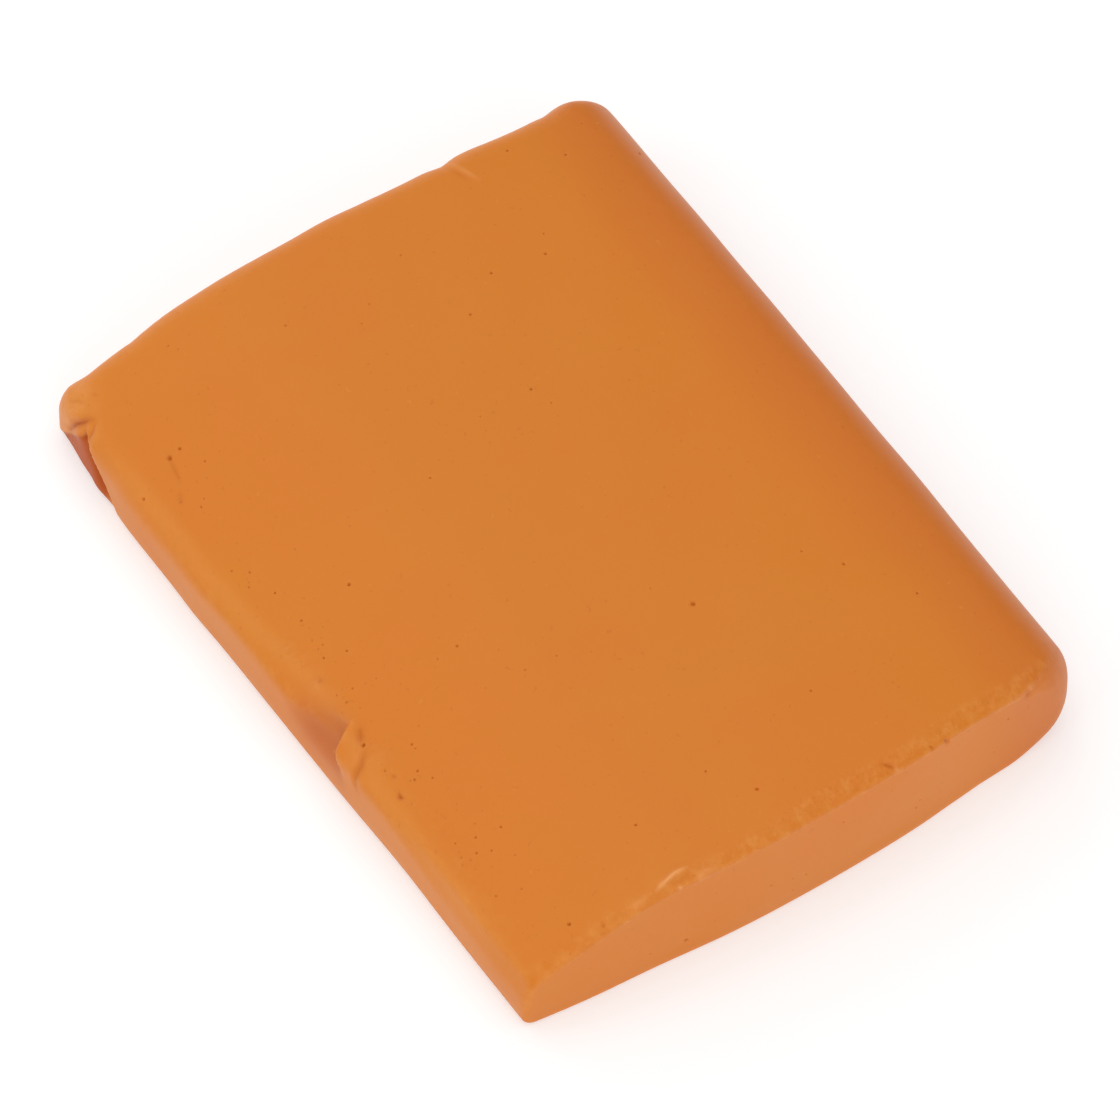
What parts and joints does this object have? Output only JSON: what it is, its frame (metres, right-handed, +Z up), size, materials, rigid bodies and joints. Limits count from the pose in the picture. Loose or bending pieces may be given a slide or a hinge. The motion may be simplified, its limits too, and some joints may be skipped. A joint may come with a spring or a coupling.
{
  "type": "clay bar",
  "caption": "Slab of soft orange detailing clay, knife-cut across its front end and folded in at the other, rubbed over wet paint to lift off grit.",
  "frame": {"origin": "middle of the underside's bounding box, on the surface that the bar lies on", "axes": "+X along the bar toward its knife-cut end, +Y across it toward the round-nosed long side, +Z up through its thickness"},
  "size_m": [0.0854, 0.064, 0.0143],
  "materials": {
    "clay": "smooth satin putty, pinholed, slightly translucent"
  },
  "bodies": {
    "root": {"clay_bar": "clay"}
  },
  "joints": []
}
